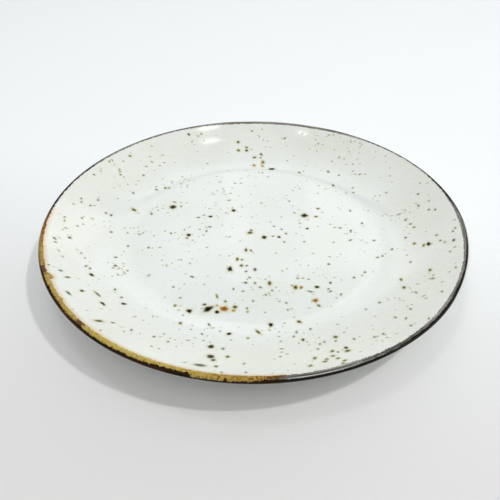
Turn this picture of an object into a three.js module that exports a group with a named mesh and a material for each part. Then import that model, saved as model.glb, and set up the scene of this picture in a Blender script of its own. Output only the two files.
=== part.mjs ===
// A speckled stoneware dinner plate: the turned clay body with its foot ring,
// and the glaze coats that are fired onto it.
// Millimetres, +Z up. The origin is the middle of the foot ring, on the table.
import * as THREE from 'three';

// Driving dimensions
const PLATE_DIAMETER = 270; // over the glazed lip
const PLATE_HEIGHT = 28; // from the table to the crest of the glazed lip
const LIP_THICKNESS = 3.1; // of the clay, which is rounded to a half circle there
const LIP_SLOPE = THREE.MathUtils.degToRad(32); // of the wall where it runs into the lip
const WELL_DIAMETER = 160; // of the flat floor that food lies on
const FLOOR_THICKNESS = 4.2; // of the clay under the well
const FOOT_DIAMETER = 156; // to the middle of the foot ring
const FOOT_WIDTH = 5; // across the foot ring
const FOOT_HEIGHT = 3; // from the table to the underside of the floor
const FOOT_EDGE_RADIUS = 0.8; // of the two worn edges that stand on the table
const FOOT_FILLET_RADIUS = 1.2; // where the foot ring grows out of the underside
const BARE_STRIP = 0.5; // of foot wall wiped clean of glaze, above its worn edge
const GLAZE_THICKNESS = 0.35; // of the white coat
const BAND_THICKNESS = 0.35; // of the coloured bands on the lip
const OCHRE_BAND_WIDTH = 2.4; // along the clay, from the inner edge of the lip

// Finishes of the clay and of the coats on it
const STONEWARE = { color: 0xb9a68c, roughness: 0.85 };
const WHITE_GLAZE = { color: 0xebeee5, roughness: 0.12 };
const OCHRE_GLAZE = { color: 0xb07a22, roughness: 0.25 };
const BROWN_GLAZE = { color: 0x35261b, roughness: 0.2 };

// Facets of the turned surfaces
const TURN_SEGMENTS = 56;
const WALL_STEPS = 8;
const LIP_STEPS = 2;
const CORNER_STEPS = 2;

// Directions on the lip, as angles from straight outward
const OUTERMOST = 0;
const CREST = Math.PI / 2;
const LIP_INNER_EDGE = CREST + LIP_SLOPE;
const LIP_LOWER_EDGE = LIP_SLOPE - CREST;

// Places on the section, as radius and height
const lipRadius = LIP_THICKNESS / 2;
const lipCentre = new THREE.Vector2(
  PLATE_DIAMETER / 2 - BAND_THICKNESS - lipRadius,
  PLATE_HEIGHT - BAND_THICKNESS - lipRadius,
);
const ochreEdge = LIP_INNER_EDGE - OCHRE_BAND_WIDTH / lipRadius;
const floorTop = FOOT_HEIGHT + FLOOR_THICKNESS;
const wellEdge = new THREE.Vector2(WELL_DIAMETER / 2, floorTop);
const footOuter = (FOOT_DIAMETER + FOOT_WIDTH) / 2;
const footInner = (FOOT_DIAMETER - FOOT_WIDTH) / 2;
const glazeLine = FOOT_EDGE_RADIUS + BARE_STRIP;
const filletHeight = FOOT_HEIGHT - FOOT_FILLET_RADIUS;

// The section is one line of stations: from the middle of the well, over the lip,
// to the middle of the underside.
// Each station is a point of the clay with the direction that faces out of it there.
const stations = [];

// Adds a stretch of the section, which starts where the last one ended.
// Returns the number of its last station.
function follow(curve, steps) {
  const firstStep = stations.length === 0 ? 0 : 1;
  for (let step = firstStep; step <= steps; step++) {
    const along = curve.getTangent(step / steps);
    stations.push({
      point: curve.getPoint(step / steps),
      out: new THREE.Vector2(-along.y, along.x),
    });
  }
  return stations.length - 1;
}

function followLine(radius, height) {
  const start = stations.length === 0 ? new THREE.Vector2(0, height) : stations.at(-1).point;
  return follow(new THREE.LineCurve(start, new THREE.Vector2(radius, height)), 1);
}

function followLip(fromAngle, toAngle) {
  const arc = new THREE.EllipseCurve(
    lipCentre.x, lipCentre.y, lipRadius, lipRadius, fromAngle, toAngle, true,
  );
  return follow(arc, LIP_STEPS);
}

function followCorner(radius, height, size, fromAngle, toAngle) {
  const clockwise = toAngle < fromAngle;
  const arc = new THREE.EllipseCurve(radius, height, size, size, fromAngle, toAngle, clockwise);
  return follow(arc, CORNER_STEPS);
}

function lipPoint(angle) {
  const offset = new THREE.Vector2(Math.cos(angle), Math.sin(angle)).multiplyScalar(lipRadius);
  return offset.add(lipCentre);
}

// A smooth rise from a level place to the lip, or back: both ends lie along the lines that meet at the bend.
function bendBelow(lipEnd, levelHeight) {
  const run = (lipEnd.y - levelHeight) / Math.tan(LIP_SLOPE);
  return new THREE.Vector2(lipEnd.x - run, levelHeight);
}

// The eating face
const topCentre = followLine(wellEdge.x, wellEdge.y) - 1;
const lipInner = lipPoint(LIP_INNER_EDGE);
const wall = new THREE.QuadraticBezierCurve(wellEdge, bendBelow(lipInner, floorTop), lipInner);
const glazeRim = follow(wall, WALL_STEPS);

// The lip
followLip(LIP_INNER_EDGE, CREST);
const bandBorder = followLip(CREST, ochreEdge);
followLip(ochreEdge, OUTERMOST);
const bandEnd = followLip(OUTERMOST, LIP_LOWER_EDGE);

// The underside
const lipLower = lipPoint(LIP_LOWER_EDGE);
const footRoot = new THREE.Vector2(footOuter + FOOT_FILLET_RADIUS, FOOT_HEIGHT);
const belly = new THREE.QuadraticBezierCurve(lipLower, bendBelow(lipLower, FOOT_HEIGHT), footRoot);
follow(belly, WALL_STEPS);

// The outer side of the foot ring
followCorner(footRoot.x, filletHeight, FOOT_FILLET_RADIUS, Math.PI / 2, Math.PI);
const outerGlazeLine = followLine(footOuter, glazeLine);
followLine(footOuter, FOOT_EDGE_RADIUS);
followCorner(footOuter - FOOT_EDGE_RADIUS, FOOT_EDGE_RADIUS, FOOT_EDGE_RADIUS, 0, -Math.PI / 2);

// The resting face and the inner side of the foot ring
followLine(footInner + FOOT_EDGE_RADIUS, 0);
followCorner(footInner + FOOT_EDGE_RADIUS, FOOT_EDGE_RADIUS, FOOT_EDGE_RADIUS, -Math.PI / 2, -Math.PI);
const innerGlazeLine = followLine(footInner, glazeLine);
followLine(footInner, filletHeight);
followCorner(footInner - FOOT_FILLET_RADIUS, filletHeight, FOOT_FILLET_RADIUS, 0, Math.PI / 2);

// The recess inside the foot ring
const bottomCentre = followLine(0, FOOT_HEIGHT);

function turn(profile) {
  return new THREE.LatheGeometry(profile, TURN_SEGMENTS).rotateX(Math.PI / 2);
}

function clay() {
  return turn(stations.map((station) => station.point).reverse());
}

// A coat lies on the clay between two stations and stands out from it by its thickness.
function coat(first, last, thickness) {
  const covered = stations.slice(first, last + 1);
  const under = covered.map(({ point }) => point);
  const over = covered.map(({ point, out }) => point.clone().addScaledVector(out, thickness));
  return turn([...under, ...over.reverse(), under[0]]);
}

function piece(name, geometry, finish) {
  const mesh = new THREE.Mesh(geometry, new THREE.MeshStandardMaterial({ ...finish, metalness: 0 }));
  mesh.name = name;
  return mesh;
}

const plate = new THREE.Group();
plate.name = 'speckled_plate';
plate.add(
  piece('clay_body', clay(), STONEWARE),
  piece('upper_glaze', coat(topCentre, glazeRim, GLAZE_THICKNESS), WHITE_GLAZE),
  piece('rim_ochre_band', coat(glazeRim, bandBorder, BAND_THICKNESS), OCHRE_GLAZE),
  piece('rim_brown_band', coat(bandBorder, bandEnd, BAND_THICKNESS), BROWN_GLAZE),
  piece('underside_glaze', coat(bandEnd, outerGlazeLine, GLAZE_THICKNESS), WHITE_GLAZE),
  piece('recess_glaze', coat(innerGlazeLine, bottomCentre, GLAZE_THICKNESS), WHITE_GLAZE),
);

export default plate;
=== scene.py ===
# A speckled stoneware plate on a pale table.
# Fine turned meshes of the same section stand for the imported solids, with glaze, speckle and a coloured lip.
import math
from collections import namedtuple

import bpy
import numpy as np
from mathutils import Matrix, Quaternion, Vector
from mathutils.geometry import delaunay_2d_cdt


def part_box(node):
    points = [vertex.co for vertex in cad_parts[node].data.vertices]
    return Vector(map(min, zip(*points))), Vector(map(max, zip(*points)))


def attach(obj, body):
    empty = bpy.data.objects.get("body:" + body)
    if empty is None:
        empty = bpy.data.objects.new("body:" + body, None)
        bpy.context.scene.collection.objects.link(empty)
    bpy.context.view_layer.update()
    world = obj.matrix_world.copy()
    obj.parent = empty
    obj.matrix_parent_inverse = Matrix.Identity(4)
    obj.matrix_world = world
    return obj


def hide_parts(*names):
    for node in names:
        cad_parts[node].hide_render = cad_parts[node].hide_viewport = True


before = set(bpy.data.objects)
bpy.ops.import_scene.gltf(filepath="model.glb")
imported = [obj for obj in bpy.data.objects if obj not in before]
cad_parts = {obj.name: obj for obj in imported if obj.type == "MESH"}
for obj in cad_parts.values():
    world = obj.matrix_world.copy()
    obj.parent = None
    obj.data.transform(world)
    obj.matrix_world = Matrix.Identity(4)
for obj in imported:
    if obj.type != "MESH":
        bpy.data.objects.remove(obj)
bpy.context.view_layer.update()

scene = bpy.context.scene

MM = 0.001

# The camera, in the plate's frame; the photograph is square, sized in pixels
PHOTO_SIZE = 500
LENS_ANGLE = math.radians(53)
CAMERA_PLACE = np.array([0.0, -272.0, 215.8]) * MM
CAMERA_AIM = np.array([-2.07, -36.43, 23.24]) * MM
CAMERA_ROLL = math.radians(0.36)
CAMERA_NEAREST = 10 * MM

# Sizes of the section that the frame doesn't give by itself; the slope is in degrees
LIP_THICKNESS = 3.1 * MM
LIP_SLOPE = 32
WELL_RADIUS = 80 * MM
FOOT_WIDTH = 5 * MM
FOOT_EDGE_RADIUS = 0.8 * MM
FOOT_FILLET_RADIUS = 1.2 * MM
COAT_THICKNESS = 0.35 * MM
OCHRE_BAND_WIDTH = 2.4 * MM

# A coat thins towards its wiped edge over this distance; the very edge counts as this share of the way
GLAZE_EDGE_TAPER = 0.6 * MM
GLAZE_EDGE_SHARE = 0.02

# Sizes that the frame gives
plate_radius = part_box("rim_brown_band")[1].x
crest_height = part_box("rim_ochre_band")[1].z
floor_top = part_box("upper_glaze")[0].z
foot_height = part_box("recess_glaze")[1].z
foot_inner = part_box("recess_glaze")[1].x
glaze_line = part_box("underside_glaze")[0].z

# Facets round the turned meshes
LIP_SEGMENTS = 720
BODY_SEGMENTS = 240

# Steps along the section
WELL_STEPS = 30
WALL_STEPS = 120
BAND_STEPS = 14
BELLY_STEPS = 60
FILLET_STEPS = 10
FOOT_SIDE_STEPS = 8
BARE_SIDE_STEPS = 2
FOOT_EDGE_STEPS = 8
FOOT_FACE_STEPS = 6
RECESS_STEPS = 20

# The hidden clay and glaze back under the eating face take longer steps: this many of the face's
CLAY_STRIDE = 5
GLAZE_BACK_STRIDE = 10

# Triangles of the eating face: their size, the points of the smallest ring, the strip along the edge without
# flecks' points, the distance at which points merge, and the number that asks for triangles everywhere
TOP_SPACING = 2.5 * MM
SMALLEST_RING = 6
EDGE_MARGIN = 0.5 * MM
MERGE_DISTANCE = 0.01 * MM
WHOLE_HULL = 0

# The search for where a line of sight meets the eating face: its rounds, and each one's share of the way
SEARCH_ROUNDS = 60
SEARCH_PACE = 0.3

# Flecks that stand out, by kind. A row is a place in the photograph, a width and a height there, in pixels,
# and for some a tilt in degrees.
DARK_FLECKS = [
    (208.2, 308.9, 10.6, 5, 24), (189.2, 311, 6, 3.8), (217, 312, 4.4, 3.8), (204.5, 304.5, 4.5, 2),
    (173, 207, 6.5, 4), (233.6, 210.5, 4.2, 2.8), (210.5, 216.5, 4.2, 2), (304.4, 215.5, 6.5, 4),
    (188.7, 235, 4.4, 3), (264.2, 237.3, 5, 3.4), (279, 237, 3.2, 2.4), (230, 269, 5.2, 4.8),
    (317, 287, 4.6, 2.8), (270.8, 324.8, 4.8, 4), (229, 333.8, 4.4, 3.2), (188.8, 134.4, 3.4, 2),
    (271.7, 169, 6, 2), (211, 346.6, 7.2, 3.2), (210.6, 356.5, 7.8, 3.8), (303, 339.8, 3.6, 2.6),
    (428.6, 243.9, 4.6, 3.5), (346, 347.7, 4.2, 2.6), (91.6, 274.8, 5.2, 2.5, -26),
    (82, 290.8, 4.8, 2, -12), (453.7, 240.1, 3.4, 2.3, 35), (102.8, 303.6, 5.4, 2.5, -27),
    (123.7, 303.8, 5.4, 2.2, -10), (245.6, 282.7, 3.8, 1.9),
]
OLIVE_FLECKS = [
    (235, 307, 4.8, 3.4), (247, 308.3, 2.5, 2.1), (247.6, 311.8, 2.6, 1.9), (225.4, 301.4, 3, 2.4),
    (250, 232.7, 5.4, 2.8), (251.3, 230.2, 3, 2), (246, 250, 3, 3.6), (269.6, 283.2, 4, 4.2),
    (295.5, 287.3, 4.4, 4.2), (180.4, 323.2, 3.4, 2.8), (258, 332, 5.6, 3, -40), (175, 305.6, 3.2, 2.6),
    (238.3, 142, 3.2, 2.2), (238.5, 150.4, 3.4, 2.2), (246.6, 147.4, 3, 1.8), (246.6, 150.4, 3.2, 2.4),
    (254.5, 157.5, 3.4, 2), (134, 209.9, 5, 2.5, -22), (401, 279.5, 3.4, 2.6), (404, 287.5, 3.6, 2.8),
    (318, 208.6, 3.6, 1.8), (316, 216.6, 3.6, 1.8), (423.7, 245.3, 3.4, 2.4), (414.4, 243.5, 3.4, 2.2),
    (299, 321.7, 5, 2.8), (335.5, 337, 4.6, 2.8), (332.3, 351.2, 5, 2.1, 14), (314.8, 358.2, 5, 2.2, 20),
    (325, 361.5, 5.4, 2, 12), (326.4, 359, 3.8, 1.8, 10), (333, 356, 4.6, 1.9, 12),
    (338, 358.3, 4.6, 1.9, 12), (347.6, 350.8, 7, 2.1, 9), (344.7, 360.5, 5, 1.9, 12),
    (343.2, 363.3, 5, 1.9, 12), (310.4, 365.9, 5, 1.9, 7), (213.2, 360, 5, 2.8), (216, 366.4, 4.2, 2.2),
    (227.6, 356.7, 4.6, 2.4), (98.8, 320.9, 9, 2.2, -4), (237.3, 259.2, 3.4, 3.2), (241.3, 265.6, 3.4, 2.8),
    (430, 270, 3.6, 2.6),
]
RUST_FLECKS = [
    (224.2, 308.8, 8.2, 5.2), (301.2, 287.5, 3.4, 2.8), (315.6, 300.5, 5, 3.6), (263, 162, 3.4, 2.6),
]
OCHRE_FLECKS = [(233.5, 310.5, 3.8, 2.8), (254, 165.4, 3.6, 2.2), (262.4, 166, 3, 2), (217, 305.5, 3, 2.2)]
GREY_FLECKS = [
    (187, 238, 2.6, 2.2), (286, 233.5, 2.6, 2), (171, 233.3, 2.6, 2), (206.5, 231, 2.6, 2),
    (284.3, 242, 2.4, 2), (251, 250.5, 2.4, 2.6), (246, 271.4, 3.4, 2), (242, 259.7, 2.8, 2.2),
    (246.7, 265.7, 3, 2.2), (255, 269.5, 3.6, 3.6), (249.6, 277.5, 3, 2), (233.5, 289, 2.6, 2.4),
    (330.5, 291.3, 3, 2.2), (253, 301, 2.6, 2.2), (286.3, 303, 2.8, 2.2), (209, 324.6, 4, 2.2, -40),
    (202, 334, 2.8, 2.2), (180.3, 297.8, 2.6, 2.2), (173.4, 287, 2.6, 2.2), (296.6, 332.4, 2.8, 2.2),
    (335.7, 341, 2.8, 2), (252, 131, 2.8, 1.6), (284.8, 138.3, 2.8, 1.8), (333.2, 185.5, 3, 2),
    (94, 174.6, 2.8, 1.8), (120.5, 174.6, 2.8, 1.8), (143.5, 175.3, 2.8, 1.8), (109.4, 161.5, 2.6, 1.8),
    (133.3, 193, 2.6, 2), (156.3, 189.6, 2.8, 2), (81.3, 198.5, 2.6, 2), (81.5, 202, 2.4, 2),
    (98.2, 200, 2.6, 2), (90.5, 205.5, 2.6, 2), (151.5, 213.8, 2.8, 2.2), (64.7, 217, 2.4, 2),
    (64.5, 220.5, 2.4, 2), (82, 218, 2.6, 2), (111.3, 232, 3.6, 1.8, -8), (112.8, 322.7, 4.6, 1.7, -8),
    (69.7, 237.7, 4.6, 2.2, -18), (54.6, 238.3, 4.8, 1.9, -32), (68.4, 293, 7, 2.2, -36),
    (106, 213, 3, 1.8), (111.2, 215.2, 3.6, 2), (55.4, 242, 3.6, 1.6, -15), (128, 246, 2.6, 2.2),
    (148.6, 247.6, 2.6, 2.2), (115.7, 257.3, 4, 1.7, -3), (115.4, 265.8, 4.6, 2, -2), (86, 266, 3, 2.2),
    (60.6, 270.5, 5, 1.8, -24), (67.6, 277.2, 6, 1.9, -10), (115, 289.5, 3, 2.2), (97.4, 294, 9, 1.8, -38),
    (90, 268.4, 3, 2.2), (221.6, 372.4, 3, 2), (121.5, 297.5, 3.4, 1.9, -8), (131.4, 330, 3.2, 2.2),
    (154, 336.6, 3.2, 2.2), (246, 372.4, 3, 2), (168, 341.7, 3, 2), (223, 348.7, 3.6, 2.4),
    (200, 365.2, 14, 2.8, -6), (244, 363.6, 3, 2), (318, 349, 3, 2), (338, 352, 3, 2),
    (350.8, 230.7, 2.8, 2.2), (354, 339, 3, 2.2), (374.5, 337, 3, 2.2), (362, 223.4, 2.8, 2),
    (374, 240.5, 2.8, 2), (450, 251.5, 2.4, 2), (383.3, 333.8, 3, 2.2), (455.8, 267.3, 2.4, 2.2),
    (392, 249.2, 2.8, 2.2), (382.5, 256, 2.8, 2), (319.9, 344, 3, 2), (365, 272.2, 2.8, 2.2),
    (354, 277.5, 2.8, 2.2), (341, 294.5, 2.8, 2.2), (379.5, 302.5, 3, 2.2), (416, 292.5, 2.8, 2.2),
    (442, 291.5, 2.6, 2.2), (410.5, 309, 3, 2.2), (395.5, 317.5, 3, 2.2), (429, 318.7, 2.8, 2.2),
    (324.4, 342, 3, 2), (310.4, 329, 3, 2.2), (411, 325.5, 3, 2.2), (436.5, 235.2, 3, 2),
    (440.3, 240.5, 3, 2), (410.4, 262, 3, 2), (455.2, 228, 2.4, 2.2), (452.8, 231.2, 2.4, 2.2),
    (428.8, 209.6, 3, 2), (435.2, 209.6, 3, 2), (418.4, 205.6, 3, 2), (418, 194, 3, 2), (405.6, 220, 3, 2),
    (410.4, 224, 3, 2), (414, 227.2, 3, 2), (405.6, 237.6, 3, 2), (406, 318.4, 3, 2.2),
]
FAINT_FLECKS = [
    (58.8, 250.5, 3.8, 1.6, -42), (62.8, 256.4, 3.4, 1.6, -40), (81.2, 253.2, 3, 2.2), (444.8, 242, 4, 2),
    (432.8, 278.4, 6, 2.2), (428.8, 200.8, 3, 2),
]

# Fine specks strewn over the rest; radius and stretch spread by their logarithms, turns in radians
SPECK_SEED = 11
SPECK_COUNT = 800
SPECK_RADIUS = 0.5 * MM
SPECK_RADIUS_SPREAD = 0.34
SPECK_LARGEST = 1.1 * MM
SPECK_STRETCH = 0.16
SPECK_STRETCH_SPREAD = 0.14
SPECK_TURN_SPREAD = 0.5
SPECK_LIMIT = 130 * MM
CLUSTER_COUNT = 60
CLUSTER_SHARE = 0.45
CLUSTER_SPREAD = 5 * MM

# Waves in a fleck's outline: their numbers round it, and their strength
WAVE_COUNTS = np.arange(2, 6)
WAVE_STRENGTH = 0.1

# A fleck's points on the mesh: its rings and its stain's ring, as shares of its outline, and their points'
# spacing and least and greatest number
FLECK_RINGS = (0.4, 0.75, 1.0, 1.3)
STAIN_RING = 2.4
FLECK_SPACING = 0.6 * MM
FLECK_POINT_COUNTS = (7, 18)

# Where a fleck's cover and stain fade and its edge's colour sets in, as shares of its outline, and the most
# that waves stretch it
COVER_FADE = (0.65, 1.28)
STAIN_FADE = (0.8, STAIN_RING)
EDGE_COLOUR_FADE = (0.3, 1.0)
WAVE_REACH = 1.6

# Small grains lie deeper in the glaze and look paler: mean radii of the palest and of the fullest grains, and
# the cover of the palest
PALE_GRAIN = 0.4 * MM
FULL_GRAIN = 1.35 * MM
PALE_SHARE = 0.66

# The lip's colours round the plate. A row is the angle in degrees; where the band starts, its ochre ends and
# its grey, a painted reflection, ends, in millimetres past the lip's inner edge; and how yellow and how
# scorched the ochre is.
LIP_COLOURS = [
    (0, -0.5, -0.5, 1.2, 0, 0), (8, 0, 0, 0.2, 0, 0), (20, 0.4, 0.4, 0.4, 0, 0), (36, 0.4, 0.4, 0.4, 0, 0),
    (44, 0, 0, 0.6, 0, 0), (52, -0.4, -0.4, 1.4, 0, 0), (62, -1.2, -1.2, 1.4, 0, 0),
    (80, -1.7, -1.7, 1.6, 0, 0), (95, -1.6, -1.6, 1.6, 0, 0), (108, -0.7, -0.7, 1.6, 0, 0),
    (122, -0.2, -0.2, 0.8, 0, 0), (140, -0.3, -0.3, 1, 0, 0), (155, -0.1, -0.1, 0.5, 0, 0),
    (165, 0.2, 0.2, 0.6, 0, 0), (172, 0.2, 0.2, 0.5, 0, 0), (177, 0.2, 0.2, 0.8, 0, 1),
    (180, 0.4, 1.2, 1.2, 0, 1.4), (186, 0.3, 1.9, 1.9, 0, 0.9), (190, 0, 2.2, 2.2, 0, 0.3),
    (195, -0.2, 2.3, 2.3, 0.1, 0.2), (200, -0.5, 2.3, 2.3, 0.1, 0), (204.5, -0.6, 2.2, 2.2, 0.2, 0.1),
    (205, -0.5, 1.9, 1.9, 0.2, 1.2), (207.5, -0.5, 1.5, 1.5, 0.2, 1.2), (208.2, -2.4, 1.4, 1.4, 0.4, 0.1),
    (209, -3.4, 1.4, 1.4, 0.5, 0), (209.8, -3.2, 1.4, 1.4, 0.5, 0.2), (210.4, -1.2, 1.5, 1.5, 0.7, 0.1),
    (218, -1.1, 1.5, 1.5, 0.6, 0.1), (218.8, -2, 1.3, 1.3, 0.4, 0), (219.5, -1, 1.2, 1.2, 0.3, 0),
    (221.5, -0.9, 1.3, 1.3, 0.4, 0), (222, -0.9, 1.7, 1.7, 0.7, 0.1), (227, -0.9, 1.8, 1.8, 0.7, 0.1),
    (228, -0.8, 1.7, 1.7, 0.4, 1.3), (229.5, -0.8, 1.7, 1.7, 0.4, 1.3), (230.2, -0.9, 2.1, 2.1, 1, 0.1),
    (240, -0.8, 2.3, 2.3, 1, 0.1), (242, -0.7, 1.8, 1.8, 1, 0.1), (244, -0.7, 2.3, 2.3, 1, 0),
    (248.5, -0.6, 2.3, 2.3, 1, 0.1), (249.5, -0.6, 1.7, 1.7, 1, 0.1), (257, -0.5, 1.9, 1.9, 0.9, 0.2),
    (258, -0.4, 3.4, 3.4, 0.8, 0.3), (264, -0.3, 3.4, 3.4, 0.6, 0.3), (264.4, -0.3, 1.3, 1.3, 0.5, 0.5),
    (265, -0.2, 3.3, 3.3, 0.3, 0.1), (270, 0, 2.9, 2.9, 0.2, 0.2), (272, 0.1, 2.4, 2.4, 0.1, 0.6),
    (275, 0.3, 2.1, 2.4, 0, 1.2), (277, 0.5, 0.6, 2.4, 0, 1), (290, 0.5, 0.5, 2.5, 0, 0),
    (296, 0.8, 0.8, 2.4, 0, 0), (300, 0.9, 0.9, 2.4, 0, 0), (305, 0.8, 0.8, 2.1, 0, 0),
    (311, 0.6, 0.6, 1.9, 0, 0), (318, 0.1, 0.1, 1.4, 0, 0), (323, -0.4, -0.4, 1.1, 0, 0),
    (329, -0.6, -0.6, 1, 0, 0), (335, -0.7, -0.7, 0.6, 0, 0), (341, -0.9, -0.9, 0.5, 0, 0),
    (347, -0.9, -0.9, 0.9, 0, 0), (353, -0.8, -0.8, 1.6, 0, 0), (360, -0.5, -0.5, 1.2, 0, 0),
]
# Where the lip's brown ends: the angle in degrees, and millimetres past the lip's inner edge
LIP_BROWN_ENDS = [
    (0, 4.8), (50, 4.8), (62, 1.2), (70, 0.6), (95, 0.6), (108, 3), (120, 4.8), (205, 4.8), (211, 3.6),
    (220, 3.6), (228, 4.8), (240, 6), (305, 6), (312, 4.8), (318, 3.8), (325, 2.7), (333, 2), (341, 1.8),
    (347, 1.9), (353, 2.2), (357, 3), (360, 4.8),
]
# Where the brown comes back on the hidden outer side of the lip, in the same way, and where it ends there
LIP_OUTER_STARTS = [
    (0, 3.1), (30, 2.5), (60, 2.2), (120, 2.2), (150, 2.5), (180, 3.1), (200, 4.2), (318, 4.6), (325, 4.4),
    (335, 4.1), (345, 3.7), (352, 3.4), (360, 3.1),
]
LIP_OUTER_END = 5.0

# How strongly a pale line, a painted reflection, shows at the outer edge of the lip's grey, and the painted
# shade inside it, by angle
LIP_PALE_LINE = [(276, 0), (279, 1), (285, 0.9), (289, 0.5), (293, 0.2), (298, 0)]
LIP_LINE_SHADE = [(276, 0), (279, 1), (300, 1), (305, 0.6), (311, 0)]

# Borders of the lip's paint, in millimetres: where each fades, the painted shade's distance inside the painted
# pale line, and the widths of ochre that count as none and as all
PAINT_FADE = (-0.3, 0.3)
OCHRE_FADE = (-0.25, 0.25)
BROWN_FADE = (-0.45, 0.45)
OUTER_FADE = (-0.1, 0.3)
BLEED_FADE = (-3.2, 0.0)
LINE_FADE = (0.1, 0.3)
SHADE_FADE = (0.2, 0.55)
SHADE_INSET = 0.75
OCHRE_WIDTHS = (0.2, 1.0)

# How the paint's borders wander: over what length, and how far in millimetres
RAGGED = (3 * MM, 0.6)
FINE_RAGGED = (0.8 * MM, 0.9)

# The lip's mottling, scorching and streaks: sizes, the noise over which they set in, and strengths
MOTTLE_SIZE = 1.6 * MM
MOTTLE_RANGE = (0.35, 0.6)
MOTTLE_STRENGTH = 0.45
SCORCH_SWING = (1.1 * MM, 2.0)
SCORCH_RANGE = (0.3, 0.9)
SCORCH_STRENGTH = 0.9
STREAK_SIZE = (22 * MM, 0.8 * MM)
BROWN_STREAK = (0.32, 0.68)
GREY_STREAK = (0.42, 0.58)
GLINT_STREAK = (0.54, 0.66)
GLINT_STRENGTH = 0.25
BLEED_STRENGTH = 0.9
SHADE_STRENGTH = 0.6

# The white glaze: its clouds, the reach in millimetres from the well's white to the wall's, and its dust
CLOUD_SIZE = 35 * MM
FINE_CLOUD_SIZE = 2.5 * MM
CLOUD_RANGE = (0.6, 1.4)
WALL_REACH = (-48, -14)
DUST_STRENGTH = 0.5

# Indices of glaze and of other surfaces, specular levels, and the glaze's roughness and faint ripple
GLAZE_INDEX = 1.6
PLAIN_INDEX = 1.5
FULL_SPECULAR = 0.5
FLECK_SPECULAR = 0.1
FLECK_SPECULAR_FADE = (0.1, 0.9)
LIP_SPECULAR = 0.05
GLOSS_SIZE = 12 * MM
GLOSS_RANGE = (0.2, 1.0)
GLAZE_ROUGHNESS = (0.05, 0.12)
PAINT_ROUGHNESS = 0.08
RIPPLE_SIZE = 6 * MM
RIPPLE_DEPTH = 0.015 * MM

# The bare clay
CLAY_MOTTLE_SIZE = 2 * MM
CLAY_GLOSS_SIZE = MM
CLAY_GLOSS_RANGE = (0.3, 0.7)
CLAY_ROUGHNESS = (0.75, 0.95)
CLAY_GRAIN_SIZE = 0.5 * MM
CLAY_GRAIN_DEPTH = 0.08 * MM

# The table: half its side, the lean of its brightness to the right, and where it brightens, in metres; the
# brightening is painted light
TABLE_HALF = 3.0
TABLE_LEAN = 0.2
TABLE_FADE = (-0.22, 0.12)
TABLE_GLOSS_SIZE = 80 * MM
TABLE_GLOSS_RANGE = (0.2, 0.8)
TABLE_ROUGHNESS = (0.5, 0.6)
TABLE_GRAIN_SIZE = 1.5 * MM
TABLE_GRAIN_DEPTH = 0.01 * MM

# Lamps that face the plate, in metres, watts and degrees
Lamp = namedtuple("Lamp", "name direction distance width height power turn mirrored", defaults=(0, True))
LAMPS = [
    Lamp("key", (0.4717, -0.1419, 0.8703), 2.6, 0.14, 0.14, 17.5),
    Lamp("overhead", (-0.13, 0.1, 0.986), 2.5, 0.35, 0.35, 4, mirrored=False),
    Lamp("overhead_left", (0.1309, 0.2062, 0.9697), 2.56, 0.07, 0.14, 0.22, -19),
    Lamp("overhead_left_far", (0.1497, 0.122, 0.9812), 2.56, 0.04, 0.2, 0.19, -9),
    Lamp("overhead_right", (-0.1608, 0.1566, 0.9745), 2.56, 0.05, 0.1, 0.09, -3),
]

# Panes of the window behind the plate: their edges in metres, and how bright they look
Pane = namedtuple("Pane", "name left right bottom top brightness")
AHEAD = (0, 1, 0)
WINDOW_DISTANCE = 1.6
WINDOW_PANES = [
    Pane("window_left_edge", -0.12, 0.24, 0.76, 1.54, 0.4),
    Pane("window_left", -0.02, 0.24, 0.86, 1.54, 0.4),
    Pane("window_right", 0.24, 0.62, 0.76, 1.465, 0.8),
    Pane("window_far_right", 0.36, 0.64, 0.84, 1.465, 0.7),
    Pane("window_right_upper", 0.15, 0.36, 1.18, 1.465, 0.35),
]

# The room: its even light, and soft patches behind the plate. Each edge has a start and an end: left and
# right are slopes from straight ahead, low and high are heights, all of a direction from the plate.
ROOM_COLOUR = (0.985, 0.995, 1.0, 1.0)
ROOM_LIGHT = 0.634
Patch = namedtuple("Patch", "left right low high light")
ROOM_PATCHES = {
    "glow": Patch((-0.34, -0.1), (-0.06, 0.02), (0.36, 0.48), (0.62, 0.68), 0.45),
    "lintel": Patch((-0.3, -0.15), (0.4, 0.6), (0.678, 0.692), (0.733, 0.745), -0.55),
    "ceiling_edge": Patch((-0.5, -0.25), (0.12, 0.3), (0.735, 0.75), (0.82, 0.92), 0.65),
    "ceiling": Patch((-0.9, -0.4), (0.2, 0.5), (0.74, 0.84), (1.1, 1.2), 0.25),
}
# A direction counts as at least this far ahead, which keeps its slope finite
LEAST_AHEAD = 0.05

# The room's near and left sides, as parts of a direction from the plate, and the light that each adds
NEAR_SIDE = (-0.5, 0.0)
LEFT_SIDE = (-0.8, -0.3)
LOW_HEIGHTS = (0.5, 0.8)
HIGH_HEIGHTS = (0.72, 0.85)
NEAR_LOW_LIGHT = -0.34
NEAR_HIGH_LIGHT = 1.0
LEFT_LOW_LIGHT = -0.21


def tint(red, green, blue):
    """A colour given as on a screen, from 0 to 255, in the linear values that nodes use (sRGB)."""
    screen = np.array([red, green, blue]) / 255
    linear = np.where(screen <= 0.04045, screen / 12.92, ((screen + 0.055) / 1.055) ** 2.4)
    return (*linear.tolist(), 1.0)


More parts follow.
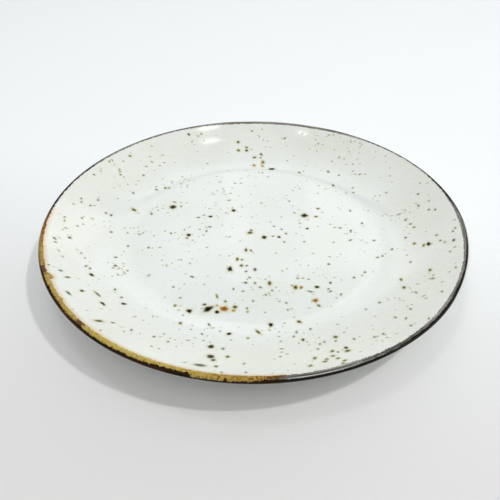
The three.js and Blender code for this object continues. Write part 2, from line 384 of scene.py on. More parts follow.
# Colours
WELL_COOL = tint(237, 242, 239)
WELL_WARM = tint(231, 236, 229)
WALL_COOL = tint(238, 242, 236)
WALL_WARM = tint(233, 235, 225)
IRON_STAIN = tint(216, 215, 180)
DUST = tint(150, 150, 134)
OCHRE_BROWN = tint(150, 108, 34)
OCHRE_YELLOW = tint(184, 159, 72)
OCHRE_PALE = tint(203, 179, 110)
OCHRE_SCORCH = tint(92, 57, 20)
PEACH_BLEED = tint(228, 208, 172)
# Painted reflection on the lip: its grey and slate; the slate also paints the brown's glints
PAINTED_REFLECTION_GREY = tint(146, 144, 138)
LIP_SLATE = tint(98, 96, 91)
# Painted reflection: the pale line along the lip
LIP_PALE = tint(208, 207, 202)
BROWN_DEEP = tint(10, 8, 6)
BROWN_WARM = tint(36, 31, 25)
BROWN_RED = tint(60, 36, 11)
CLAY_PALE = tint(196, 178, 152)
CLAY_DARK = tint(164, 142, 114)
# The table's colours, darker near and brighter and bluer far, as painted light
TABLE_NEAR = tint(226, 224, 224)
TABLE_FAR = tint(250, 254, 255)

# Kinds of fleck: the middle's colour, the edge's colour, and how strongly it stains the glaze round it
FleckKind = namedtuple("FleckKind", "core edge stain")
DARK = FleckKind(tint(20, 16, 8), tint(76, 69, 40), 0.6)
OLIVE = FleckKind(tint(84, 82, 42), tint(142, 140, 88), 0.75)
RUST = FleckKind(tint(142, 88, 24), tint(178, 128, 60), 0.8)
OCHRE = FleckKind(tint(152, 120, 50), tint(198, 174, 102), 0.8)
GREY = FleckKind(tint(92, 94, 80), tint(146, 149, 130), 0.4)
FAINT = FleckKind(tint(150, 154, 138), tint(192, 198, 182), 0.3)
SPECK_KINDS = [DARK, OLIVE, RUST, GREY, FAINT]
SPECK_ODDS = [0.09, 0.14, 0.01, 0.44, 0.32]

# Specks that a material paints: spacing, share of places with one, radius in spacings; and their solid part
PaintedSpecks = namedtuple("PaintedSpecks", "spacing share radius")
DUST_SPECKS = PaintedSpecks(1.7 * MM, 0.3, 0.16)
UNDER_OLIVE_SPECKS = PaintedSpecks(7 * MM, 0.8, 0.13)
UNDER_GREY_SPECKS = PaintedSpecks(3.4 * MM, 0.8, 0.12)
CLAY_SPECKS = PaintedSpecks(1.6 * MM, 0.2, 0.2)
SPECK_CORE = 0.5

# A fleck on the plate: its middle and half axes seen from above, the waves in its outline, and its kind
Fleck = namedtuple("Fleck", "centre axes waves kind")


def spokes(angles):
    """Directions at these angles."""
    return np.column_stack([np.cos(angles), np.sin(angles)])


# The section, as rows of radius, height and the direction that faces out of the clay
def stations(points, along):
    along = along / np.linalg.norm(along, axis=1, keepdims=True)
    return np.column_stack([points, -along[:, 1], along[:, 0]])


def line(start, end, steps):
    points = np.linspace(start, end, steps + 1)
    along = np.tile(np.subtract(end, start), (steps + 1, 1))
    return stations(points, along)


def arc(centre, radius, start, end, steps):
    angle = np.radians(np.linspace(start, end, steps + 1))
    points = np.array(centre) + radius * spokes(angle)
    along = np.sign(end - start) * np.column_stack([-np.sin(angle), np.cos(angle)])
    return stations(points, along)


def bend(start, corner, end, steps):
    start, corner, end = np.array(start), np.array(corner), np.array(end)
    t = np.linspace(0, 1, steps + 1)[:, None]
    points = (1 - t) ** 2 * start + 2 * t * (1 - t) * corner + t ** 2 * end
    along = (1 - t) * (corner - start) + t * (end - corner)
    return stations(points, along)


def join(*stretches):
    return np.concatenate([stretches[0], *[stretch[1:] for stretch in stretches[1:]]])


lip_radius = LIP_THICKNESS / 2
lip_centre = (plate_radius - COAT_THICKNESS - lip_radius, crest_height - COAT_THICKNESS - lip_radius)
lip_inner_edge = 90 + LIP_SLOPE
lip_lower_edge = LIP_SLOPE - 90
ochre_edge = lip_inner_edge - math.degrees(OCHRE_BAND_WIDTH / lip_radius)
foot_outer = foot_inner + FOOT_WIDTH
fillet_height = foot_height - FOOT_FILLET_RADIUS


def lip_point(angle):
    turn = math.radians(angle)
    return lip_centre[0] + lip_radius * math.cos(turn), lip_centre[1] + lip_radius * math.sin(turn)


def corner_below(lip_end, level):
    """Where the lip's slope, carried on, meets a level surface."""
    return lip_end[0] - (lip_end[1] - level) / math.tan(math.radians(LIP_SLOPE)), level


well_edge = (WELL_RADIUS, floor_top)
lip_inner = lip_point(lip_inner_edge)
lip_lower = lip_point(lip_lower_edge)
foot_root = (foot_outer + FOOT_FILLET_RADIUS, foot_height)

upper_stretch = join(
    line((0, floor_top), well_edge, WELL_STEPS),
    bend(well_edge, corner_below(lip_inner, floor_top), lip_inner, WALL_STEPS),
)
ochre_stretch = arc(lip_centre, lip_radius, lip_inner_edge, ochre_edge, BAND_STEPS)
brown_stretch = arc(lip_centre, lip_radius, ochre_edge, lip_lower_edge, BAND_STEPS)
underside_stretch = join(
    bend(lip_lower, corner_below(lip_lower, foot_height), foot_root, BELLY_STEPS),
    arc((foot_root[0], fillet_height), FOOT_FILLET_RADIUS, 90, 180, FILLET_STEPS),
    line((foot_outer, fillet_height), (foot_outer, glaze_line), FOOT_SIDE_STEPS),
)
outer_edge_centre = (foot_outer - FOOT_EDGE_RADIUS, FOOT_EDGE_RADIUS)
inner_edge_centre = (foot_inner + FOOT_EDGE_RADIUS, FOOT_EDGE_RADIUS)
bare_stretch = join(
    line((foot_outer, glaze_line), (foot_outer, FOOT_EDGE_RADIUS), BARE_SIDE_STEPS),
    arc(outer_edge_centre, FOOT_EDGE_RADIUS, 0, -90, FOOT_EDGE_STEPS),
    line((outer_edge_centre[0], 0), (inner_edge_centre[0], 0), FOOT_FACE_STEPS),
    arc(inner_edge_centre, FOOT_EDGE_RADIUS, -90, -180, FOOT_EDGE_STEPS),
    line((foot_inner, FOOT_EDGE_RADIUS), (foot_inner, glaze_line), BARE_SIDE_STEPS),
)
recess_edge = foot_inner - FOOT_FILLET_RADIUS
recess_stretch = join(
    line((foot_inner, glaze_line), (foot_inner, fillet_height), FOOT_SIDE_STEPS),
    arc((recess_edge, fillet_height), FOOT_FILLET_RADIUS, 0, 90, FILLET_STEPS),
    line((recess_edge, foot_height), (0, foot_height), RECESS_STEPS),
)


def along_distance(points):
    steps = np.linalg.norm(np.diff(points, axis=0), axis=1)
    return np.concatenate([[0], np.cumsum(steps)])


def over(stretch, thickness=COAT_THICKNESS):
    """The outer face of a coat on a stretch of the clay."""
    return stretch[:, :2] + stretch[:, 2:] * np.reshape(thickness, (-1, 1))


# The glazed eating face, as height and other values by radius
face = over(upper_stretch)
face_slope = -upper_stretch[:, 2] / upper_stretch[:, 3]
face_reach = along_distance(face)
face_reach = face_reach - face_reach[-1]


def face_height(radius):
    return np.interp(radius, face[:, 0], face[:, 1])


# The camera's view of the plate
view_ahead = (CAMERA_AIM - CAMERA_PLACE) / np.linalg.norm(CAMERA_AIM - CAMERA_PLACE)
level_right = np.cross(view_ahead, (0, 0, 1))
level_right = level_right / np.linalg.norm(level_right)
level_up = np.cross(level_right, view_ahead)
view_right = math.cos(CAMERA_ROLL) * level_right - math.sin(CAMERA_ROLL) * level_up
view_up = np.cross(view_right, view_ahead)
pixels_per_slope = PHOTO_SIZE / 2 / math.tan(LENS_ANGLE / 2)


def sight(pixels):
    """Directions from the camera through places in the photograph."""
    offset = (np.asarray(pixels, float) - PHOTO_SIZE / 2) / pixels_per_slope
    return view_ahead + offset[..., :1] * view_right - offset[..., 1:] * view_up


def on_face(pixels):
    """Places on the eating face, from above, that the photograph shows at these pixels."""
    rays = sight(pixels)
    height = np.full(rays.shape[:-1], floor_top)
    for _ in range(SEARCH_ROUNDS):
        spot = CAMERA_PLACE + rays * ((height - CAMERA_PLACE[2]) / rays[..., 2])[..., None]
        height = height + SEARCH_PACE * (face_height(np.hypot(spot[..., 0], spot[..., 1])) - height)
    return spot[..., :2]


# Meshes
def add_object(name, data):
    """A new object in the scene."""
    added = bpy.data.objects.new(name, data)
    scene.collection.objects.link(added)
    return added


def make_mesh(name, vertices, faces, values):
    """A smooth mesh object with named values on its vertices."""
    mesh = bpy.data.meshes.new(name)
    mesh.from_pydata(vertices.tolist(), [], faces)
    mesh.shade_smooth()
    for value_name, numbers in values.items():
        kind, field = ("FLOAT_COLOR", "color") if np.ndim(numbers) == 2 else ("FLOAT", "value")
        attribute = mesh.attributes.new(value_name, kind, "POINT")
        attribute.data.foreach_set(field, np.asarray(numbers, np.float32).ravel())
    return add_object(name, mesh)


def full_turn(count):
    return np.linspace(0, 2 * math.pi, count, endpoint=False)


def circle(radius, count):
    """Points round the axis, seen from above."""
    return radius * spokes(full_turn(count))


def rings(outline, segments):
    """An outline's turned vertices, and each ring's numbers; a ring on the axis is a single vertex."""
    turn = full_turn(segments)
    vertices = []
    rows = []
    for radius, height in outline:
        count = segments if radius > 0 else 1
        first = len(vertices)
        for angle in turn[:count]:
            vertices.append((radius * math.cos(angle), radius * math.sin(angle), height))
        rows.append([first + step % count for step in range(segments + 1)])
    return np.array(vertices), rows


def skin(rows):
    """Faces between neighbouring rings; a ring of one vertex gives triangles, and two such rings nothing."""
    faces = []
    for inner, outer in zip(rows, rows[1:]):
        for step in range(len(inner) - 1):
            corners = (inner[step], outer[step], outer[step + 1], inner[step + 1])
            face_corners = list(dict.fromkeys(corners))
            if len(face_corners) > 2:
                faces.append(face_corners)
    return faces


def smooth_step(value, start, end):
    t = np.clip((value - start) / (end - start), 0, 1)
    return t * t * (3 - 2 * t)


def lip_values(vertices):
    """What the lists of the lip say at each vertex, by its angle round the plate."""
    angle = np.degrees(np.arctan2(vertices[:, 1], vertices[:, 0])) % 360
    angles, *columns = np.array(LIP_COLOURS).T
    names = ("band_start", "ochre_end", "grey_end", "yellow", "scorch")
    values = {name: np.interp(angle, angles, column) for name, column in zip(names, columns)}
    single_lists = {
        "brown_end": LIP_BROWN_ENDS,
        "outer_start": LIP_OUTER_STARTS,
        "pale_line": LIP_PALE_LINE,
        "line_shade": LIP_LINE_SHADE,
    }
    for name, rows in single_lists.items():
        values[name] = np.interp(angle, *np.array(rows).T)
    return values


def turned(name, outline, reach, segments):
    """A closed turned piece. Reach is each outline point's distance past the lip's inner edge."""
    vertices, rows = rings(outline, segments)
    counts = [len(set(row)) for row in rows]
    values = {"reach": np.repeat(reach, counts) / MM, **lip_values(vertices)}
    return make_mesh(name, vertices, skin(rows + rows[:1]), values)


def coat(name, stretch, first_reach, segments, thickness=COAT_THICKNESS):
    """A fired coat on a stretch of the clay, closed all round."""
    outer = over(stretch, thickness)
    outline = np.concatenate([outer, stretch[::-1, :2]])
    outer_reach = first_reach + along_distance(outer)
    return turned(name, outline, np.concatenate([outer_reach, outer_reach[::-1]]), segments)


def tapered(stretch, thin_at_start):
    """Coat thicknesses that round off towards the wiped end of a stretch."""
    distance = along_distance(stretch[:, :2])
    if not thin_at_start:
        distance = distance[-1] - distance
    share = np.clip(distance / GLAZE_EDGE_TAPER, GLAZE_EDGE_SHARE, 1)
    return COAT_THICKNESS * np.sqrt(1 - (1 - share) ** 2)


# Flecks
def waves(rng):
    """Sizes and phases of the waves that make a fleck's outline uneven."""
    sizes = rng.normal(0, WAVE_STRENGTH, len(WAVE_COUNTS)) / np.sqrt(WAVE_COUNTS - 1)
    phases = rng.uniform(0, 2 * math.pi, len(WAVE_COUNTS))
    return sizes, phases


def outline_radius(fleck, angle):
    sizes, phases = fleck.waves
    return 1 + (sizes * np.cos(np.multiply.outer(angle, WAVE_COUNTS) + phases)).sum(-1)


def mean_radius(fleck):
    return np.sqrt(abs(np.linalg.det(fleck.axes)))


def photo_fleck(rng, kind, x, y, width, height, tilt=0):
    """A fleck of the photograph, laid on the plate.

    On the wall, one without a tilt runs in the direction that the view foreshortens least.
    """
    corners = on_face(np.array([[x, y], [x + 1, y], [x, y + 1]]))
    per_pixel = np.column_stack([corners[1] - corners[0], corners[2] - corners[0]])
    along = np.array([math.cos(math.radians(tilt)), -math.sin(math.radians(tilt))])
    if tilt == 0 and np.hypot(*corners[0]) > WELL_RADIUS:
        along = np.linalg.svd(np.linalg.inv(per_pixel))[0][:, 0]
    across = np.array([-along[1], along[0]])
    half_axes = np.column_stack([along * width / 2, across * height / 2])
    return Fleck(corners[0], per_pixel @ half_axes, waves(rng), kind)


def strewn_specks(rng):
    """Fine specks, some alone and some in loose clusters."""
    count = SPECK_COUNT
    radius = SPECK_LIMIT * np.sqrt(rng.uniform(0, 1, count + CLUSTER_COUNT))
    angle = rng.uniform(0, 2 * math.pi, count + CLUSTER_COUNT)
    places = radius[:, None] * spokes(angle)
    clusters = places[count:]
    places = places[:count]
    clustered = rng.uniform(0, 1, count) < CLUSTER_SHARE
    chosen = clusters[rng.integers(0, CLUSTER_COUNT, count)] + rng.normal(0, CLUSTER_SPREAD, (count, 2))
    places = np.where(clustered[:, None], chosen, places)
    sizes = np.minimum(SPECK_RADIUS * np.exp(rng.normal(0, SPECK_RADIUS_SPREAD, count)), SPECK_LARGEST)
    stretch = np.exp(rng.normal(SPECK_STRETCH, SPECK_STRETCH_SPREAD, count))
    turn = rng.normal(0, SPECK_TURN_SPREAD, count)
    kinds = rng.choice(len(SPECK_KINDS), count, p=SPECK_ODDS)
    specks = []
    for place, size, long, bearing, kind in zip(places, sizes, stretch, turn, kinds):
        if np.hypot(*place) > SPECK_LIMIT:
            continue
        spin = np.array([[math.cos(bearing), -math.sin(bearing)], [math.sin(bearing), math.cos(bearing)]])
        axes = spin @ np.diag([size * long, size / long])
        specks.append(Fleck(place, axes, waves(rng), SPECK_KINDS[kind]))
    return specks


def all_flecks():
    rng = np.random.default_rng(SPECK_SEED)
    drawn = [
        (DARK, DARK_FLECKS), (OLIVE, OLIVE_FLECKS), (RUST, RUST_FLECKS),
        (OCHRE, OCHRE_FLECKS), (GREY, GREY_FLECKS), (FAINT, FAINT_FLECKS),
    ]
    flecks = [photo_fleck(rng, kind, *fleck) for kind, rows in drawn for fleck in rows]
    return flecks + strewn_specks(rng)


def fleck_points(fleck):
    """Points that carry a fleck's outline and shading on the mesh."""
    around = 2 * math.pi * mean_radius(fleck)
    count = int(np.clip(around / FLECK_SPACING, *FLECK_POINT_COUNTS))
    angle = full_turn(count)
    edge = outline_radius(fleck, angle)[:, None] * spokes(angle)
    local = np.concatenate([[[0, 0]], *[edge * level for level in (*FLECK_RINGS, STAIN_RING)]])
    return fleck.centre + local @ fleck.axes.T


def fleck_values(points, flecks):
    """For each point: how much fleck covers it, the fleck's colour there, and how stained the glaze is."""
    cover = np.zeros(len(points))
    stain = np.zeros(len(points))
    pigment = np.tile(np.array(GREY.core), (len(points), 1))
    nearest = np.full(len(points), np.inf)
    for fleck in flecks:
        reach = STAIN_RING * WAVE_REACH * np.linalg.norm(fleck.axes, 2)
        near = np.flatnonzero(np.abs(points - fleck.centre).max(axis=1) < reach)
        local = (points[near] - fleck.centre) @ np.linalg.inv(fleck.axes).T
        edge = outline_radius(fleck, np.arctan2(local[:, 1], local[:, 0]))
        depth = np.hypot(local[:, 0], local[:, 1]) / edge
        fullness = PALE_SHARE + (1 - PALE_SHARE) * smooth_step(mean_radius(fleck), PALE_GRAIN, FULL_GRAIN)
        cover[near] = np.maximum(cover[near], fullness * (1 - smooth_step(depth, *COVER_FADE)))
        stain[near] = np.maximum(stain[near], fleck.kind.stain * (1 - smooth_step(depth, *STAIN_FADE)))
        closer = depth < nearest[near]
        toward_edge = smooth_step(depth, *EDGE_COLOUR_FADE)[:, None]
        colour = np.array(fleck.kind.core) * (1 - toward_edge) + np.array(fleck.kind.edge) * toward_edge
        pigment[near[closer]] = colour[closer]
        nearest[near[closer]] = depth[closer]
    return {"fleck": cover, "pigment": pigment, "stain": stain}


def face_points(flecks):
    """Points of the eating face from above: its edge first, an even polar grid, then the flecks."""
    edge_radius = face[-1, 0]
    parts = [circle(edge_radius, LIP_SEGMENTS), np.zeros((1, 2))]
    ring_count = round(edge_radius / TOP_SPACING)
    for ring in range(1, ring_count):
        radius = edge_radius * ring / ring_count
        parts.append(circle(radius, max(SMALLEST_RING, round(2 * math.pi * radius / TOP_SPACING))))
    inside = np.concatenate([fleck_points(fleck) for fleck in flecks])
    inside = inside[np.hypot(inside[:, 0], inside[:, 1]) < edge_radius - EDGE_MARGIN]
    return np.concatenate([*parts, inside])


def face_normals(flat, radius):
    """Directions that the true eating face looks in at places seen from above."""
    slope = np.interp(radius, face[:, 0], face_slope)
    outward = np.divide(flat, radius[:, None], out=np.zeros_like(flat), where=radius[:, None] > 0)
    normals = np.column_stack([-outward * slope[:, None], np.ones(len(flat))])
    return normals / np.linalg.norm(normals, axis=1, keepdims=True)


def upper_glaze():
    """The speckled coat of the eating face: a fine triangle mesh above, turned rings below."""
    flecks = all_flecks()
    points = [Vector(point) for point in face_points(flecks)]
    flat, _, triangles, origins, _, _ = delaunay_2d_cdt(points, [], [], WHOLE_HULL, MERGE_DISTANCE)
    flat = np.array([tuple(point) for point in flat])
    radius = np.hypot(flat[:, 0], flat[:, 1])
    top = np.column_stack([flat, face_height(radius)])
    new_number = {old: new for new, olds in enumerate(origins) for old in olds}
    edge_row = [new_number[step % LIP_SEGMENTS] for step in range(LIP_SEGMENTS + 1)]

    under, under_rows = rings(upper_stretch[::-GLAZE_BACK_STRIDE, :2], LIP_SEGMENTS)
    under_rows = [[number + len(top) for number in row] for row in under_rows]
    vertices = np.concatenate([top, under])
    faces = [list(triangle) for triangle in triangles] + skin([edge_row, *under_rows])

    reach = np.interp(np.hypot(vertices[:, 0], vertices[:, 1]), face[:, 0], face_reach) / MM
    values = {"reach": reach, **lip_values(vertices), **fleck_values(vertices[:, :2], flecks)}
    piece = make_mesh("speckled_face", vertices, faces, values)

    below = np.tile((0.0, 0.0, -1.0), (len(under), 1))
    normals = np.concatenate([face_normals(flat, radius), below])
    piece.data.normals_split_custom_set_from_vertices(normals.tolist())
    return piece


# Materials, and the sockets of a colour mixing node
MIX_FIRST = 6
MIX_SECOND = 7
MIX_RESULT = 2


class Graph:
    """Short calls for the nodes of a material or of the world."""

    def __init__(self, tree, place="Object"):
        self.tree = tree
        self.place = self.add("ShaderNodeTexCoord").outputs[place]

    def fill(self, node, inputs):
        """Links a node's inputs to other nodes' outputs, or sets their own values."""
        for name, value in inputs.items():
            if isinstance(value, bpy.types.NodeSocket):
                self.tree.links.new(value, node.inputs[name])
            else:
                node.inputs[name].default_value = value

    def add(self, kind, inputs=None, **settings):
        node = self.tree.nodes.new(kind)
        for name, value in settings.items():
            setattr(node, name, value)
        self.fill(node, inputs or {})
        return node

    def attribute(self, name, output="Fac"):
        return self.add("ShaderNodeAttribute", attribute_name=name).outputs[output]

    def split(self):
        """The three parts of the place."""
        return self.add("ShaderNodeSeparateXYZ", {0: self.place}).outputs

    def math(self, operation, first, second=0.0):
        return self.add("ShaderNodeMath", {0: first, 1: second}, operation=operation).outputs[0]

    def times(self, first, second):
        return self.math("MULTIPLY", first, second)

    def mix(self, factor, first, second):
        inputs = {"Factor": factor, MIX_FIRST: first, MIX_SECOND: second}
        return self.add("ShaderNodeMix", inputs, data_type="RGBA").outputs[MIX_RESULT]

    def step(self, value, start, end, low=0.0, high=1.0):
        """Low below start, high above end, and smooth between."""
        inputs = {"Value": value, "From Min": start, "From Max": end, "To Min": low, "To Max": high}
        return self.add("ShaderNodeMapRange", inputs, interpolation_type="SMOOTHSTEP").outputs["Result"]

    def fade(self, value, start, end, high=1.0):
        """High below start, nothing above end, and smooth between."""
        return self.step(value, start, end, high, 0.0)

    def past(self, value, border, fade, high=1.0):
        """High past a border that is as soft as the fade says."""
        return self.step(self.math("SUBTRACT", value, border), *fade, high=high)

    def before(self, value, border, fade):
        """1 before a border that is as soft as the fade says."""
        return self.fade(self.math("SUBTRACT", value, border), *fade)

    def noise(self, size, detail=2.0):
        """Cloudy noise about 0.5, with features of about that size."""
        inputs = {"Vector": self.place, "Scale": 1 / size, "Detail": detail}
        return self.add("ShaderNodeTexNoise", inputs).outputs["Fac"]

    def swing(self, size, amount, detail=2.0):
        """Noise from about minus to plus that amount."""
        return self.times(self.math("SUBTRACT", self.noise(size, detail), 0.5), 2 * amount)

    def streaks(self, length, width):
        """Noise drawn out round the plate, in streaks of about that length along the lip and that width."""
        x, y, _ = self.split()
        reach = self.math("DIVIDE", self.attribute("reach"), width / MM)
        drawn = {0: self.math("DIVIDE", x, length), 1: self.math("DIVIDE", y, length), 2: reach}
        place = self.add("ShaderNodeCombineXYZ", drawn).outputs[0]
        return self.add("ShaderNodeTexNoise", {"Vector": place, "Scale": 1.0}).outputs["Fac"]

    def specks(self, kind):
        """1 inside painted specks."""
        cells = self.add("ShaderNodeTexVoronoi", {"Vector": self.place, "Scale": 1 / kind.spacing}).outputs
        chosen = self.math("LESS_THAN", cells["Color"], kind.share)
        return self.times(chosen, self.fade(cells["Distance"], kind.radius * SPECK_CORE, kind.radius))

    def bump(self, height, depth):
        return self.add("ShaderNodeBump", {"Height": height, "Distance": depth}).outputs["Normal"]


class Surface(Graph):
    """The nodes of a new material."""

    def __init__(self, name):
        self.material = bpy.data.materials.new(name)
        self.material.use_nodes = True
        super().__init__(self.material.node_tree)

    def finish(self, colour, roughness, normal, index=PLAIN_INDEX, specular=FULL_SPECULAR):
        shader = self.tree.nodes["Principled BSDF"]
        self.fill(shader, {"Base Color": colour, "Roughness": roughness, "Normal": normal})
        self.fill(shader, {"IOR": index, "Specular IOR Level": specular})
        return self.material


def ochre_paint(graph):
    """Mottled ochre, from brown to yellow, scorched in places."""
    mottle = graph.noise(MOTTLE_SIZE, detail=4.0)
    scorch = graph.math("ADD", graph.attribute("scorch"), graph.swing(*SCORCH_SWING, detail=3.0))
    ochre = graph.mix(graph.attribute("yellow"), OCHRE_BROWN, OCHRE_YELLOW)
    ochre = graph.mix(graph.fade(mottle, *MOTTLE_RANGE, MOTTLE_STRENGTH), ochre, OCHRE_PALE)
    return graph.mix(graph.step(scorch, *SCORCH_RANGE, high=SCORCH_STRENGTH), ochre, OCHRE_SCORCH)


def painted_reflection_line(graph, paint):
    """The paint with a pale line, a painted reflection, at the outer edge of the grey, and a painted shade
    inside that line.
    """
    from_line = graph.math("SUBTRACT", graph.attribute("reach"), graph.attribute("grey_end"))
    from_shade = graph.math("ADD", from_line, SHADE_INSET)
    shade = graph.fade(graph.math("ABSOLUTE", from_shade), *SHADE_FADE, SHADE_STRENGTH)
    pale = graph.fade(graph.math("ABSOLUTE", from_line), *LINE_FADE)
    paint = graph.mix(graph.times(shade, graph.attribute("line_shade")), paint, BROWN_WARM)
    return graph.mix(graph.times(pale, graph.attribute("pale_line")), paint, LIP_PALE)


def brown_paint(graph, ragged_reach, ochre_here):
    """A grey painted reflection, then dark brown, streaked along the lip; the brown is redder beside ochre,
    else it has painted glints.
    """
    streak = graph.streaks(*STREAK_SIZE)
    warm = graph.mix(ochre_here, BROWN_WARM, BROWN_RED)
    brown = graph.mix(graph.step(streak, *BROWN_STREAK), BROWN_DEEP, warm)
    glint = graph.step(streak, *GLINT_STREAK, high=GLINT_STRENGTH)
    glint = graph.times(glint, graph.math("SUBTRACT", 1.0, ochre_here))
    brown = graph.mix(glint, brown, LIP_SLATE)
    grey = graph.mix(graph.step(streak, *GREY_STREAK), LIP_SLATE, PAINTED_REFLECTION_GREY)
    past_grey = graph.past(ragged_reach, graph.attribute("grey_end"), PAINT_FADE)
    return painted_reflection_line(graph, graph.mix(past_grey, grey, brown))


def lip_paint(graph, white):
    """The colour near the lip, white, ochre, grey, brown and white again below, and the paint's share."""
    reach = graph.attribute("reach")
    ragged = graph.math("ADD", graph.swing(*RAGGED), graph.swing(*FINE_RAGGED))
    ragged_reach = graph.math("ADD", reach, ragged)
    start = graph.attribute("band_start")
    ochre_end = graph.attribute("ochre_end")

    above = graph.before(reach, graph.attribute("brown_end"), BROWN_FADE)
    outer = graph.past(reach, graph.attribute("outer_start"), OUTER_FADE)
    outer = graph.times(outer, graph.before(reach, LIP_OUTER_END, BROWN_FADE))
    above = graph.math("MAXIMUM", above, outer)
    painted = graph.times(graph.past(ragged_reach, start, PAINT_FADE), above)

    ochre_here = graph.past(ochre_end, start, OCHRE_WIDTHS)
    bleed = graph.times(graph.past(ragged_reach, start, BLEED_FADE, BLEED_STRENGTH), ochre_here)
    bleed = graph.times(bleed, above)
    brown = brown_paint(graph, ragged_reach, ochre_here)
    paint = graph.mix(graph.past(ragged_reach, ochre_end, OCHRE_FADE), ochre_paint(graph), brown)
    return graph.mix(painted, graph.mix(bleed, white, PEACH_BLEED), paint), painted


def glaze_white(graph):
    """The white glaze, warmer on the wall than in the well, with its faint clouds and its finest dust."""
    cloud = graph.math("ADD", graph.noise(CLOUD_SIZE), graph.noise(FINE_CLOUD_SIZE, detail=4.0))
    cloud = graph.step(cloud, *CLOUD_RANGE)
    well = graph.mix(cloud, WELL_COOL, WELL_WARM)
    wall = graph.mix(cloud, WALL_COOL, WALL_WARM)
    white = graph.mix(graph.step(graph.attribute("reach"), *WALL_REACH), well, wall)
    return graph.mix(graph.times(graph.specks(DUST_SPECKS), DUST_STRENGTH), white, DUST)


def glaze_finish(graph, colour, painted, specular=FULL_SPECULAR):
    """A glossy coat, rougher where it is painted."""
    gloss = graph.math("ADD", graph.times(painted, PAINT_ROUGHNESS), graph.noise(GLOSS_SIZE))
    roughness = graph.step(gloss, *GLOSS_RANGE, *GLAZE_ROUGHNESS)
    normal = graph.bump(graph.noise(RIPPLE_SIZE, detail=3.0), RIPPLE_DEPTH)
    return graph.finish(colour, roughness, normal, GLAZE_INDEX, specular)


def face_glaze():
    graph = Surface("speckled_white_glaze")
    white = graph.mix(graph.attribute("stain"), glaze_white(graph), IRON_STAIN)
    colour, painted = lip_paint(graph, white)
    fleck = graph.attribute("fleck")
    colour = graph.mix(fleck, colour, graph.attribute("pigment", "Color"))
    specular = graph.step(fleck, *FLECK_SPECULAR_FADE, FULL_SPECULAR, FLECK_SPECULAR)
    return glaze_finish(graph, colour, painted, specular)


def lip_glaze():
    graph = Surface("iron_lip_glaze")
    colour, painted = lip_paint(graph, glaze_white(graph))
    return glaze_finish(graph, colour, painted, LIP_SPECULAR)


def under_glaze():
    graph = Surface("underside_white_glaze")
    white = glaze_white(graph)
    white = graph.mix(graph.specks(UNDER_OLIVE_SPECKS), white, OLIVE.core)
    white = graph.mix(graph.specks(UNDER_GREY_SPECKS), white, GREY.core)
    colour, painted = lip_paint(graph, white)
    return glaze_finish(graph, colour, painted)


def bare_clay():
    graph = Surface("bare_stoneware")
    colour = graph.mix(graph.noise(CLAY_MOTTLE_SIZE, detail=5.0), CLAY_PALE, CLAY_DARK)
    colour = graph.mix(graph.specks(CLAY_SPECKS), colour, DARK.edge)
    roughness = graph.step(graph.noise(CLAY_GLOSS_SIZE), *CLAY_GLOSS_RANGE, *CLAY_ROUGHNESS)
    normal = graph.bump(graph.noise(CLAY_GRAIN_SIZE, detail=4.0), CLAY_GRAIN_DEPTH)
    return graph.finish(colour, roughness, normal)


def table_top():
    """A pale sheet with painted light: it brightens towards the back and the right."""
    graph = Surface("pale_table")
    across, ahead, _ = graph.split()
    painted_light = graph.step(graph.math("ADD", ahead, graph.times(across, TABLE_LEAN)), *TABLE_FADE)
    colour = graph.mix(painted_light, TABLE_NEAR, TABLE_FAR)
    roughness = graph.step(graph.noise(TABLE_GLOSS_SIZE), *TABLE_GLOSS_RANGE, *TABLE_ROUGHNESS)
    normal = graph.bump(graph.noise(TABLE_GRAIN_SIZE), TABLE_GRAIN_DEPTH)
    return graph.finish(colour, roughness, normal)


# Camera
camera_data = bpy.data.cameras.new("camera")
camera_data.angle = LENS_ANGLE
camera_data.clip_start = CAMERA_NEAREST
camera = add_object("camera", camera_data)
camera.location = CAMERA_PLACE
camera.rotation_euler = Matrix((view_right, view_up, -view_ahead)).transposed().to_euler()
scene.camera = camera

# The plate
ochre_reach = along_distance(over(ochre_stretch))[-1]
brown_reach = ochre_reach + along_distance(over(brown_stretch))[-1]
underside_reach = brown_reach + along_distance(over(underside_stretch))[-1]
underside_thickness = tapered(underside_stretch, thin_at_start=False)
recess_thickness = tapered(recess_stretch, thin_at_start=True)
clay_top = upper_stretch[::CLAY_STRIDE]
clay_section = join(clay_top, ochre_stretch, brown_stretch, underside_stretch, bare_stretch, recess_stretch)
clay_outline = clay_section[:, :2]

pieces = {
    "clay_body": (
        turned("stoneware_body", clay_outline, np.full(len(clay_outline), underside_reach), BODY_SEGMENTS),
        "stoneware",
        bare_clay(),
    ),
    "upper_glaze": (upper_glaze(), "white_glaze", face_glaze()),
    "rim_ochre_band": (coat("lip_ochre", ochre_stretch, 0, LIP_SEGMENTS), "ochre_glaze", lip_glaze()),
    "rim_brown_band": (
        coat("lip_brown", brown_stretch, ochre_reach, LIP_SEGMENTS),
        "brown_glaze",
        lip_glaze(),
    ),
    "underside_glaze": (
        coat("speckled_underside", underside_stretch, brown_reach, BODY_SEGMENTS, underside_thickness),
        "white_glaze",
        under_glaze(),
    ),
    "recess_glaze": (
        coat("speckled_recess", recess_stretch, underside_reach, BODY_SEGMENTS, recess_thickness),
        "white_glaze",
        under_glaze(),
    ),
}
for node, (piece, slot, material) in pieces.items():
    piece.data.materials.append(material)
    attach(piece, "root")
    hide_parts(node)

# The table
table_mesh = bpy.data.meshes.new("table")
table_corners = [(-1, -1), (1, -1), (1, 1), (-1, 1)]
table_mesh.from_pydata([(x * TABLE_HALF, y * TABLE_HALF, 0) for x, y in table_corners], [], [(0, 1, 2, 3)])
table = add_object("table", table_mesh)
table.data.materials.append(table_top())


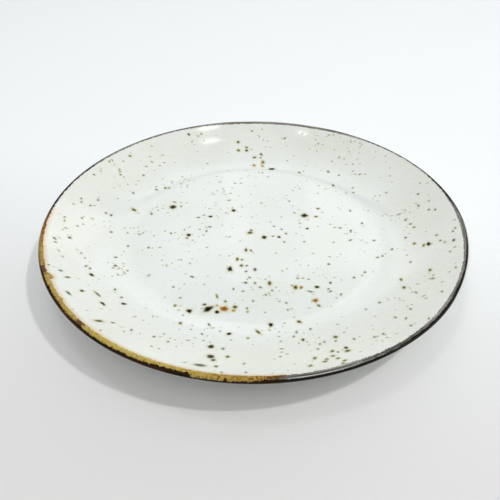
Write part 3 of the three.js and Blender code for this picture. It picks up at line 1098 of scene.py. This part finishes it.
# Light
def area_light(name, place, behind, width, height, power, turn=0):
    """A rectangle of light; behind is the direction that its dark side faces, about which it turns."""
    data = bpy.data.lights.new(name, "AREA")
    data.shape = "RECTANGLE"
    data.size = width
    data.size_y = height
    data.energy = power
    light = add_object(name, data)
    light.location = place
    spin = Quaternion((0, 0, 1), math.radians(turn))
    light.rotation_euler = (Vector(behind).to_track_quat("Z", "Y") @ spin).to_euler()
    light.visible_camera = False
    return light


for lamp in LAMPS:
    place = Vector(lamp.direction).normalized() * lamp.distance
    light = area_light(lamp.name, place, lamp.direction, lamp.width, lamp.height, lamp.power, lamp.turn)
    light.visible_glossy = lamp.mirrored

for pane in WINDOW_PANES:
    width = pane.right - pane.left
    height = pane.top - pane.bottom
    place = ((pane.left + pane.right) / 2, WINDOW_DISTANCE, (pane.bottom + pane.top) / 2)
    area_light(pane.name, place, AHEAD, width, height, math.pi * pane.brightness * width * height)


def room():
    """Even light, patches behind the plate, a dim left, and a near side dim below and bright above."""
    world = bpy.data.worlds.new("room")
    world.use_nodes = True
    graph = Graph(world.node_tree, "Generated")
    across, ahead, height = graph.split()
    bearing = graph.math("DIVIDE", across, graph.math("MAXIMUM", ahead, LEAST_AHEAD))

    parts = []
    for patch in ROOM_PATCHES.values():
        sides = graph.times(graph.step(bearing, *patch.left), graph.fade(bearing, *patch.right))
        levels = graph.times(graph.step(height, *patch.low), graph.fade(height, *patch.high))
        parts.append(graph.times(graph.times(sides, levels), patch.light))
    near_side = graph.fade(ahead, *NEAR_SIDE)
    left_side = graph.fade(across, *LEFT_SIDE)
    parts.append(graph.times(near_side, graph.fade(height, *LOW_HEIGHTS, NEAR_LOW_LIGHT)))
    parts.append(graph.times(near_side, graph.step(height, *HIGH_HEIGHTS, high=NEAR_HIGH_LIGHT)))
    parts.append(graph.times(left_side, graph.fade(height, *LOW_HEIGHTS, LEFT_LOW_LIGHT)))
    brightness = ROOM_LIGHT
    for part in parts:
        brightness = graph.math("ADD", part, brightness)
    graph.fill(world.node_tree.nodes["Background"], {"Strength": brightness, "Color": ROOM_COLOUR})
    return world


scene.world = room()
scene.view_settings.view_transform = "Standard"
